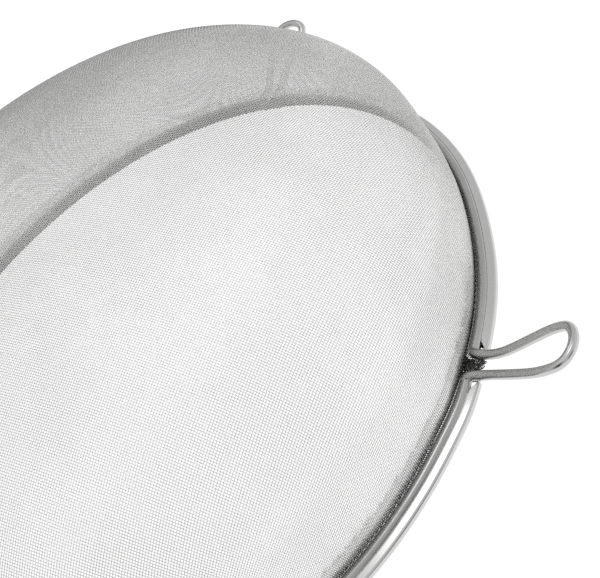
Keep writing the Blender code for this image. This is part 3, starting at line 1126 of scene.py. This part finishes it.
@dataclass
class HoopWire:
    """The one round wire that runs in the rim, out and back at each ear, and into the handle.

    Attributes:
        axis_y: Where the bowl's axis stands on Y.
        rim_radius: The rim's outer radius.
        radius: The wire's radius.
        inset: The wire's distance in from the rim's edge.
        height: The height of the wire's middle in the rim.
        ear_turn: How far each ear stands from +Y.
        tilt: How steeply the handle rises.
        ear_tilt: How steeply the ears rise.
        tilt_start: How far inside the rim's edge they start to rise.
        foot_lift: How far the wire lifts out of the rim at an ear's feet.
        handle_height: The height that the handle starts from.
        tail_spread: Each tail's distance from the handle's middle.
        tail_bend: The radius of the bend from the rim into the handle.
        tail_end: How far along the handle the tails reach.
    """

    axis_y: float
    rim_radius: float = 130.0 * MM
    radius: float = 1.45 * MM
    inset: float = 4.25 * MM
    height: float = 2.29 * MM
    ear_turn: float = math.radians(44.0)
    tilt: float = math.radians(12.0)
    ear_tilt: float = math.radians(15.6)
    tilt_start: float = 1.0 * MM
    foot_lift: float = 1.2 * MM
    handle_height: float = 2.95 * MM
    tail_spread: float = 4.8 * MM
    tail_bend: float = 4.0 * MM
    tail_end: float = 22.0 * MM

    # One ear, as distance beyond the rim's edge and distance from the ear's middle line, in millimetres.
    EAR = (
        (-4.25, -6.4), (-4.7, -4.9), (-3.8, -4.0), (-1.9, -3.6), (0.6, -3.6), (3.5, -3.7), (13.0, -5.3),
        (20.3, -6.1), (26.5, -5.2), (29.1, -1.9), (29.2, 2.9), (26.5, 6.9), (21.5, 7.1), (16.0, 5.7),
        (8.0, 3.5), (3.5, 3.1), (0.6, 3.15), (-1.9, 3.25), (-3.8, 3.8), (-4.7, 4.7), (-4.25, 6.2),
    )
    # In millimetres too: beyond this offset a foot lies in the rim, and the wire's lift is here and this wide.
    FOOT_OFFSET = 6.1
    LIFT_REACH = -2.2
    LIFT_SPREAD = 3.0

    def around(self, radius: float, turn: float, height: float) -> np.ndarray:
        """A point on a ring about the bowl's axis, out of round where it lies in the rim.

        Args:
            radius: The ring's radius.
            turn: The angle.
            height: The ring's height.

        Returns:
            The point.
        """
        if radius < self.rim_radius:
            radius += out_of_round(turn)
        return np.array((radius * math.cos(turn), self.axis_y + radius * math.sin(turn), height))

    def ear_line(self) -> np.ndarray:
        """Bends the right ear, between its two feet in the rim.

        Returns:
            The wire's middle line.
        """
        middle = math.pi / 2 - self.ear_turn
        aside = np.array((-math.sin(middle), math.cos(middle), 0.0))
        hoop = self.rim_radius - self.inset

        def in_rim(offset: float) -> np.ndarray:
            """A point of the hoop, at a distance in millimetres round from the ear's middle."""
            return self.around(hoop, middle + offset * MM / hoop, self.height)

        knots = [in_rim(-9.5), in_rim(-8.0)]
        for reach, offset in self.EAR:
            if abs(offset) > self.FOOT_OFFSET and reach < 0.0:
                knots.append(in_rim(offset))
                continue
            rise = max(reach * MM + self.tilt_start, 0.0) * math.tan(self.ear_tilt)
            rise += self.foot_lift * math.exp(-(((reach - self.LIFT_REACH) / self.LIFT_SPREAD) ** 2))
            out = self.around(self.rim_radius + reach * MM, middle, self.height + rise)
            knots.append(out + aside * offset * MM)
        knots += [in_rim(8.0), in_rim(9.5)]
        return relaxed(evenly(smooth_through(knots, 12), 260), 18)

    def hoop_line(self, start: float, end: float) -> np.ndarray:
        """The wire's middle line in the rim between two angles."""
        turns = np.linspace(start, end, max(round((end - start) * self.rim_radius / (1.5 * MM)), 2))
        return np.array([self.around(self.rim_radius - self.inset, turn, self.height) for turn in turns])

    def tail_line(self) -> np.ndarray:
        """Bends the right tail, from its end in the handle to the start of the rim.

        Returns:
            The wire's middle line.
        """
        hoop = self.rim_radius - self.inset
        out, up = math.cos(self.tilt), math.sin(self.tilt)
        root = self.axis_y - self.rim_radius + self.tilt_start
        knots = []
        for reach in (self.tail_end + 2.0 * MM, self.tail_end, self.tail_end / 2, 2.0 * MM):
            knots.append(np.array((self.tail_spread, root - reach * out, self.handle_height + reach * up)))
        bend_x = self.tail_spread + self.tail_bend
        lean = math.asin(bend_x / (hoop + self.tail_bend))
        bend_y = self.axis_y - (hoop + self.tail_bend) * math.cos(lean)
        for x, y in arc((bend_x, bend_y), self.tail_bend, 180, 90 + math.degrees(lean), 5)[1:]:
            knots.append(np.array((x, y, self.height)))
        for step in (2.0, 4.0):
            knots.append(self.around(hoop, lean - math.pi / 2 + step * MM / hoop, self.height))
        return relaxed(smooth_through(knots, 8), 6)

    def build(self, material: Material) -> None:
        """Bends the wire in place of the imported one.

        Args:
            material: The wire's finish.
        """
        tail, ear = self.tail_line(), self.ear_line()

        def turn_of(point: np.ndarray) -> float:
            """Where a point stands round the bowl's axis."""
            return math.atan2(point[1] - self.axis_y, point[0])

        lower = self.hoop_line(turn_of(tail[-1]), turn_of(ear[0]))
        upper = self.hoop_line(turn_of(ear[-1]), math.pi / 2)
        half = np.concatenate([tail, lower[1:-1], ear, upper[1:]])
        mirrored = half[-2::-1] * (-1.0, 1.0, 1.0)
        mesh = round_wire("hoop_wire_with_ears", np.concatenate([half, mirrored]), self.radius, 28)
        settle("hoop_wire_with_ears", mesh, Slot.WIRE, material, ["hoop_wire"])


@dataclass
class EarHem:
    """The folded edge of the cloth, which shows between the feet of each ear where the rim is open.

    Attributes:
        axis_y: Where the bowl's axis stands on Y.
        rim_radius: The rim's outer radius.
        ear_turn: How far each ear stands from +Y.
        half_width: Half of the width that shows.
        depth: How far in from the rim's edge it reaches.
        folds: How many layers of cloth lie on each other.
        pitch: Wire spacing.
        wire_radius: Radius of one wire of the cloth.
        sides: How many sides one wire has.
    """

    axis_y: float
    rim_radius: float = 130.0 * MM
    ear_turn: float = math.radians(44.0)
    half_width: float = 3.9 * MM
    depth: float = 6.6 * MM
    folds: int = 4
    pitch: float = 0.62 * MM
    wire_radius: float = 0.1 * MM
    sides: int = 5

    SEEDS = {"right": 11, "left": 12}

    def stray(self, chance: np.random.Generator, fold: int, lean: float, across: float) -> np.ndarray | None:
        """One wire of one fold, cut off at the ragged edge.

        Args:
            chance: Where its unevenness comes from.
            fold: The layer it lies in.
            lean: Its direction, from the ear's middle line.
            across: Its distance from the middle.

        Returns:
            Its middle line as distance in from the edge, distance aside and height, or None if too short.
        """
        along = np.linspace(-8.0 * MM, 8.0 * MM, 60)
        reach = self.depth / 2 + along * math.cos(lean) - across * math.sin(lean)
        aside = along * math.sin(lean) + across * math.cos(lean)
        ragged = 0.9 * MM + chance.uniform(-0.5, 0.6) * MM + fold * 0.12 * MM
        kept = (reach > ragged) & (reach < self.depth + 4.0 * MM) & (np.abs(aside) < self.half_width)
        if kept.sum() < 5:
            return None
        reach, aside = reach[kept], aside[kept]
        height = (0.3 + 0.27 * fold) * MM + 0.08 * MM * np.sin(reach / self.pitch * math.pi + across * 9000.0)
        height += chance.uniform(0.0, 0.25) * MM * np.clip(1.0 - reach / (3.0 * MM), 0.0, 1.0)
        under_stem = np.clip((np.abs(aside) - 1.6 * MM) / (0.8 * MM), 0.0, 1.0)
        height *= 1.0 - 0.5 * under_stem
        upturned = np.clip(reach - self.depth, 0.0, None)
        return np.stack([reach - upturned * 0.97 + fold * 0.05 * MM, aside, height + upturned], -1)

    def lines(self, seed: int) -> list[np.ndarray]:
        """Every wire of the hem at one ear, with one end that curls up.

        Args:
            seed: Where its unevenness comes from.

        Returns:
            Their middle lines, as distance in from the edge, distance aside and height.
        """
        chance = np.random.default_rng(seed)
        found = []
        for fold in range(self.folds):
            for lean in (math.radians(41.0 + 7.0 * fold), math.radians(-49.0 + 7.0 * fold)):
                for across in np.arange(-7.0 * MM, 7.0 * MM, self.pitch):
                    line = self.stray(chance, fold, lean, across + chance.uniform(-0.15, 0.15) * MM)
                    if line is not None:
                        found.append(line)
        turn = np.linspace(-0.4, 4.2, 26)
        curl = np.stack([3.4 * MM - 0.75 * MM * np.sin(turn), -0.6 * MM + 0.55 * MM * turn / 2.0,
                         1.6 * MM + 0.45 * MM * (1.0 - np.cos(turn))], -1)
        return [*found, curl]

    def build(self, material: Material) -> None:
        """Lays the hem at both ears.

        Args:
            material: The hem's finish, steel darkened as painted shade.
        """
        for side, middle in (("right", math.pi / 2 - self.ear_turn), ("left", math.pi / 2 + self.ear_turn)):
            outward = np.array((math.cos(middle), math.sin(middle), 0.0))
            aside = np.array((-math.sin(middle), math.cos(middle), 0.0))
            bundle = []
            for line in self.lines(self.SEEDS[side]):
                places = ((self.rim_radius - line[:, :1]) * outward + line[:, 1:2] * aside
                          + line[:, 2:] * (0.0, 0.0, 1.0) + (0.0, self.axis_y, 0.0))
                bundle.append(wire_rings(places, (0.0, 0.0, 1.0), self.wire_radius, self.sides, 0.0))
            name = f"hem_{side}"
            settle(name, bundle_mesh(name, bundle), Slot.CLOTH, material, ["mesh_bowl"])


# ------------------------------------------------------------------------------------------------ the handle


@dataclass
class TubeHandle:
    """The handle: a ferrule round the wire's tails, a drawn oval tube, an end plug and a loop to hang it by.

    Attributes:
        root_y: Where the handle starts on Y.
        root_height: Where it starts on Z.
        tilt: How steeply it rises.
        ferrule_start: Where the ferrule's collar starts.
        tube_start: Where the tube starts.
        tube_end: Where the tube ends.
        wall: The tube's wall.
        mouth: Half of the tube's width and height where it starts.
        waist: The same where it is slimmest.
        grip: The same where it is widest.
        tail: The same where it ends.
        wire_radius: Radius of the loop's wire.
        loop_half_width: Half of the loop's width, to the wire's middle.
        loop_straight: How far the loop's sides run straight out.
        loop_root: How far inside the tube the loop starts.
        nose_radius: How far the ferrule's front edge is rounded.
        tenon_length: How far the ferrule reaches into the tube.
        spigot_length: How far the end plug reaches into the tube.
        dome: How far the end plug stands out.
        seam: The gap that shows between the tube and its neighbours.
        slack: How much smaller a tenon or spigot is than the tube's inside.
        edge: How far the tube's edges are rounded.
        sides: How many sides an oval has.
    """

    root_y: float
    root_height: float = 2.95 * MM
    tilt: float = math.radians(12.0)
    ferrule_start: float = 10.0 * MM
    tube_start: float = 14.0 * MM
    tube_end: float = 146.0 * MM
    wall: float = 0.8 * MM
    mouth: tuple[float, float] = (8.2 * MM, 4.6 * MM)
    waist: tuple[float, float] = (8.6 * MM, 4.8 * MM)
    grip: tuple[float, float] = (10.8 * MM, 5.8 * MM)
    tail: tuple[float, float] = (10.4 * MM, 5.6 * MM)
    wire_radius: float = 1.45 * MM
    loop_half_width: float = 6.2 * MM
    loop_straight: float = 9.0 * MM
    loop_root: float = 6.0 * MM
    nose_radius: float = 1.2 * MM
    tenon_length: float = 12.0 * MM
    spigot_length: float = 10.0 * MM
    dome: float = 3.4 * MM
    seam: float = 0.12 * MM
    slack: float = 0.05 * MM
    edge: float = 0.25 * MM
    sides: int = 72

    def place(self) -> Matrix:
        """The handle's own frame: its length runs along -Y from where it starts."""
        return Matrix.Translation((0.0, self.root_y, self.root_height)) @ Matrix.Rotation(-self.tilt, 4, "X")

    def ovals(self, sections: Sequence[Sequence[float]]) -> np.ndarray:
        """Rings across the handle.

        Args:
            sections: Each ring's distance, half width and half height.

        Returns:
            The rings.
        """
        turn = np.linspace(0.0, math.tau, self.sides, endpoint=False)
        return np.array([
            np.stack([wide * np.cos(turn), np.full(self.sides, -reach), high * np.sin(turn)], -1)
            for reach, wide, high in sections
        ])

    def tube_sections(self) -> np.ndarray:
        """The tube's outside, from its rolled mouth to its end.

        Returns:
            Each section's distance, half width and half height.
        """
        length = self.tube_end - self.tube_start
        knots = [
            (self.tube_start - 0.06 * length, *self.mouth),
            (self.tube_start, *self.mouth),
            (self.tube_start + length * 0.14, *self.waist),
            (self.tube_start + length * 0.45, self.grip[0] - 0.6 * MM, self.grip[1] - 0.3 * MM),
            (self.tube_start + length * 0.72, *self.grip),
            (self.tube_end, *self.tail),
            (self.tube_end + 0.2 * length, self.tail[0] - 0.6 * MM, self.tail[1] - 0.4 * MM),
        ]
        return smooth_through(knots, 24)

    def build_tube(self, material: Material) -> None:
        """Draws the hollow tube, with its edges turned in a little at both ends.

        Args:
            material: Its finish.
        """
        outside = self.tube_sections()
        shrink = np.array((0.0, self.edge, self.edge))
        step = np.array((self.edge, 0.0, 0.0))
        outside = np.concatenate([[outside[0] - shrink], [outside[0] + step], outside[1:-1],
                                  [outside[-1] - step], [outside[-1] - shrink]])
        inside = outside[::-1] - np.array((0.0, self.wall, self.wall))
        mesh = skin("handle_tube_drawn", self.ovals(np.concatenate([outside, inside])), looped=True)
        settle("handle_tube_drawn", mesh, Slot.HANDLE, material, ["handle_tube"], self.place())

    def build_ferrule(self, material: Material) -> None:
        """Turns the ferrule: a rounded nose, a collar flush with the tube, and a tenon inside it.

        Args:
            material: Its finish.
        """
        wide, high = self.mouth
        nose = [
            (self.ferrule_start + self.nose_radius * (1.0 - math.cos(a)),
             wide - self.nose_radius * (1.0 - math.sin(a)), high - self.nose_radius * (1.0 - math.sin(a)))
            for a in np.linspace(0.0, math.pi / 2, 9)
        ]
        collar_end = self.tube_start - self.seam
        tenon = (wide - self.wall - self.slack, high - self.wall - self.slack)
        rest = [
            (collar_end - 0.2 * MM, wide, high),
            (collar_end, wide - 0.2 * MM, high - 0.2 * MM),
            (collar_end, *tenon),
            (self.tube_start + self.tenon_length, *tenon),
        ]
        mesh = skin("handle_ferrule_turned", self.ovals(nose + rest))
        settle("handle_ferrule_turned", mesh, Slot.HANDLE, material, ["handle_ferrule"], self.place())

    def build_plug(self, material: Material) -> None:
        """Presses the domed end plug.

        Args:
            material: Its finish.
        """
        wide, high = self.tail
        spigot = (wide - self.wall - self.slack, high - self.wall - self.slack)
        foot = self.tube_end + self.seam
        dome = [
            (foot + self.dome * math.sin(a), wide * (0.72 + 0.28 * math.cos(a)),
             high * (0.45 + 0.55 * math.cos(a)))
            for a in np.linspace(0.0, math.pi / 2, 14)
        ]
        sections = [(self.tube_end - self.spigot_length, *spigot), (foot, *spigot), *dome]
        mesh = skin("handle_end_plug_domed", self.ovals(sections))
        settle("handle_end_plug_domed", mesh, Slot.HANDLE, material, ["handle_end_plug"], self.place())

    def build_loop(self, material: Material) -> None:
        """Bends the loop that the strainer hangs by.

        Args:
            material: Its finish.
        """
        bow = arc((0.0, self.tube_end + self.loop_straight), self.loop_half_width, 0, 180, 60)
        start = self.tube_end - self.loop_root
        legs = np.linspace(start, self.tube_end + self.loop_straight, 12)[:-1]
        line = [(self.loop_half_width, reach) for reach in legs]
        line += [tuple(point) for point in bow]
        line += [(-self.loop_half_width, reach) for reach in legs[::-1]]
        points = np.array([(x, -reach, 0.0) for x, reach in line])
        mesh = round_wire("hanging_loop_bent", points, self.wire_radius, 28)
        settle("hanging_loop_bent", mesh, Slot.WIRE, material, ["hang_loop"], self.place())

    def build(self, steel: Material, wire: Material) -> None:
        """Makes the whole handle.

        Args:
            steel: The finish of the tube, the ferrule and the plug.
            wire: The finish of the loop.
        """
        self.build_ferrule(steel)
        self.build_tube(steel)
        self.build_plug(steel)
        self.build_loop(wire)


# ------------------------------------------------------------------------------------------------ the studio


@dataclass(frozen=True)
class SoftBox:
    """One soft light.

    Attributes:
        name: The light's name.
        place: Where it hangs.
        size: Its width and height.
        power: Its power in watts.
    """

    name: str
    place: tuple[float, float, float]
    size: tuple[float, float]
    power: float


@dataclass(frozen=True)
class RoomPatch:
    """One soft bright or dark patch of the room.

    Attributes:
        towards: The direction of its middle.
        angles: The angles in degrees where it begins to fade and where it has gone.
        change: How much light it adds, less than 0 for a dark patch.
    """

    towards: tuple[float, float, float]
    angles: tuple[float, float]
    change: float

    def share(self, tree: NodeTree) -> Socket:
        """Adds the patch to the room's nodes.

        Args:
            tree: The room's nodes.

        Returns:
            Its strength, 1 in its middle and 0 outside it.
        """
        inner, outer = self.angles
        dot = tree.nodes.new("ShaderNodeVectorMath")
        dot.operation = "DOT_PRODUCT"
        tree.links.new(tree.nodes.new("ShaderNodeTexCoord").outputs["Generated"], dot.inputs[0])
        dot.inputs[1].default_value = Vector(self.towards).normalized()
        return Effects.graded(tree, dot.outputs["Value"], math.cos(math.radians(outer)),
                              math.cos(math.radians(inner)))


@dataclass
class Studio:
    """The camera, the pale floor and the soft light.

    Attributes:
        aim: The point of the floor that the camera looks at.
        distance: How far off the camera stands.
        azimuth: Which way it looks, from +Y towards -X.
        elevation: How far it looks down.
        roll: How far it is turned about its own line of sight.
        lens: Its focal length in millimetres.
    """

    aim: tuple[float, float, float] = (0.0122, 0.1400, 0.0)
    distance: float = 0.3946
    azimuth: float = math.radians(96.30)
    elevation: float = math.radians(39.11)
    roll: float = math.radians(41.5)
    lens: float = 72.0

    BOXES = (
        SoftBox("key", (0.9, -0.3, 1.3), (1.2, 1.2), 14.0),
        SoftBox("fill", (-1.2, 0.9, 0.9), (1.0, 1.0), 9.0),
        SoftBox("back", (0.1, 1.4, 0.7), (1.0, 0.5), 8.0),
    )

    FLOOR_HALF = 6.0
    FLOOR_DROP = 0.02 * MM
    SEEN_LEVEL = 1.05
    FLOOR_LEVEL = 1.0
    ROOM_LEVEL = 0.64
    PATCHES = (
        RoomPatch((0.0, 0.0, 1.0), (5.0, 40.0), 0.20),
        RoomPatch((0.84, 0.54, 0.03), (9.0, 24.0), -0.56),
        RoomPatch((-0.02, 0.224, 0.974), (7.0, 12.0), 1.1),
        RoomPatch((-0.116, 0.356, 0.927), (3.0, 9.0), 0.9),
        RoomPatch((0.61, -0.61, 0.50), (8.0, 26.0), -0.58),
        RoomPatch((-0.616, -0.02, 0.788), (4.0, 10.0), 0.9),
        RoomPatch((-0.918, -0.129, 0.375), (12.0, 30.0), -0.42),
        RoomPatch((0.05, 1.0, 0.25), (10.0, 40.0), 0.12),
    )

    def place_camera(self) -> None:
        """Sets the camera at its viewing angle."""
        camera = bpy.data.objects.new("camera", bpy.data.cameras.new("camera"))
        camera.data.lens = self.lens
        camera.data.sensor_width = 36.0
        camera.data.clip_start = 0.01
        bpy.context.scene.collection.objects.link(camera)
        flat = math.cos(self.elevation)
        across, along = math.sin(self.azimuth), -math.cos(self.azimuth)
        off = Vector((flat * across, flat * along, math.sin(self.elevation)))
        turn = off.to_track_quat("Z", "Y") @ Matrix.Rotation(-self.roll, 3, "Z").to_quaternion()
        stand = Matrix.Translation(Vector(self.aim) + off * self.distance)
        camera.matrix_world = stand @ turn.to_matrix().to_4x4()
        bpy.context.scene.camera = camera

    def lay_floor(self) -> None:
        """Lays a wide pale floor, lit from under as a light table is, so that it stays evenly white."""
        mesh = bpy.data.meshes.new("floor")
        half = self.FLOOR_HALF
        corners = [(-half, -half, 0), (half, -half, 0), (half, half, 0), (-half, half, 0)]
        mesh.from_pydata(corners, [], [(0, 1, 2, 3)])
        floor = bpy.data.objects.new("floor", mesh)
        floor.location.z = -self.FLOOR_DROP
        bpy.context.scene.collection.objects.link(floor)
        material = bpy.data.materials.new("pale_floor")
        material.use_nodes = True
        tree = material.node_tree
        tree.nodes.clear()
        self.show(tree, "ShaderNodeEmission", "ShaderNodeOutputMaterial", self.FLOOR_LEVEL)
        mesh.materials.append(material)

    def hang_lights(self) -> None:
        """Hangs the soft boxes, each facing the bowl."""
        for box in self.BOXES:
            lamp = bpy.data.lights.new(box.name, "AREA")
            lamp.shape = "RECTANGLE"
            lamp.size, lamp.size_y = box.size
            lamp.energy = box.power
            light = bpy.data.objects.new(box.name, lamp)
            light.location = box.place
            light.visible_glossy = False
            light.rotation_euler = (Vector(box.place) - Vector(self.aim)).to_track_quat("Z", "Y").to_euler()
            bpy.context.scene.collection.objects.link(light)

    def show(self, tree: NodeTree, light: str, output: str, level: float | Socket) -> None:
        """Sends out white light, at one level to the camera and another to everything else.

        Args:
            tree: The nodes to add to.
            light: The kind of node that gives the light.
            output: The kind of node that it goes out by.
            level: The light that falls on the steel.
        """
        seen, lit = tree.nodes.new(light), tree.nodes.new(light)
        for node in (seen, lit):
            node.inputs["Color"].default_value = (1.0, 1.0, 1.0, 1.0)
        seen.inputs["Strength"].default_value = self.SEEN_LEVEL
        if isinstance(level, Socket):
            tree.links.new(level, lit.inputs["Strength"])
        else:
            lit.inputs["Strength"].default_value = level
        path = tree.nodes.new("ShaderNodeLightPath")
        mix = tree.nodes.new("ShaderNodeMixShader")
        tree.links.new(path.outputs["Is Camera Ray"], mix.inputs["Fac"])
        tree.links.new(lit.outputs[0], mix.inputs[1])
        tree.links.new(seen.outputs[0], mix.inputs[2])
        tree.links.new(mix.outputs[0], tree.nodes.new(output).inputs["Surface"])

    def fill_room(self) -> None:
        """Fills the room with soft light, grey to the steel with brighter and darker patches."""
        world = bpy.data.worlds.new("room")
        bpy.context.scene.world = world
        world.use_nodes = True
        tree = world.node_tree
        tree.nodes.clear()
        strength = self.ROOM_LEVEL
        for patch in self.PATCHES:
            strength = Effects.maths(tree, "MULTIPLY_ADD", patch.share(tree), patch.change, strength)
        self.show(tree, "ShaderNodeBackground", "ShaderNodeOutputWorld", strength)

    def build(self) -> None:
        """Sets up the whole studio."""
        self.place_camera()
        self.lay_floor()
        self.hang_lights()
        self.fill_room()
        bpy.context.scene.view_settings.view_transform = "Standard"
        bpy.context.scene.cycles.use_denoising = False


def main() -> None:
    """Builds the strainer's looks and the studio round it."""
    logging.basicConfig(level=logging.INFO, format="%(message)s")
    Studio().build()
    low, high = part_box("mesh_bowl")
    axis_y = (low.y + high.y) / 2
    effects = Effects()
    cloth_finish, wire_finish = WIRE_CLOTH.material(effects), BRIGHT_WIRE.material(effects)
    WovenBowl(axis_y).build(cloth_finish)
    EarHem(axis_y).build(SHADED_HEM.material(effects))
    FoldedRim(axis_y).build(BEAD_POLISH.material(effects), HUMP_SHADED.material(effects))
    hoop = HoopWire(axis_y)
    hoop.build(wire_finish)
    TubeHandle(axis_y - hoop.rim_radius + hoop.tilt_start).build(SATIN_HANDLE.material(effects), wire_finish)


if __name__ == "__main__":
    main()
